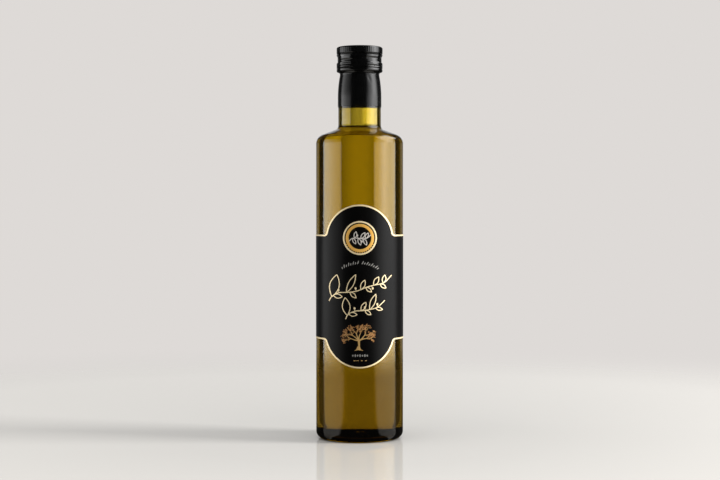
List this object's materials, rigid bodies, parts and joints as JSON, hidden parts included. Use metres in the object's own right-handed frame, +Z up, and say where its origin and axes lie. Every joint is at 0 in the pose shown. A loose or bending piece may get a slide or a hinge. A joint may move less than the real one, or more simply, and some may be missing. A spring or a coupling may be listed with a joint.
{
  "type": "olive oil bottle",
  "caption": "Tall round glass bottle of olive oil with a black screw cap, a neck sleeve and a black label with gold trim.",
  "frame": {"origin": "on the bottle's axis, on the plane of the foot ring it stands on", "axes": "+Z up along the bottle, -Y towards the front of the label, +X to the right seen from the front"},
  "size_m": [0.06, 0.0598, 0.2685],
  "materials": {
    "glass": "moulded, polished, antique olive green",
    "oil": "clear golden oil",
    "cap_lacquer": "gloss black lacquer on rolled aluminium",
    "sleeve_film": "satin black shrink film",
    "label_paper": "satin coated black paper",
    "gold_foil": "hot stamped gold foil"
  },
  "bodies": {
    "root": {"glass_bottle": "glass", "olive_oil": "oil", "screw_cap": "cap_lacquer", "neck_sleeve": "sleeve_film", "label": "label_paper"}
  },
  "joints": []
}
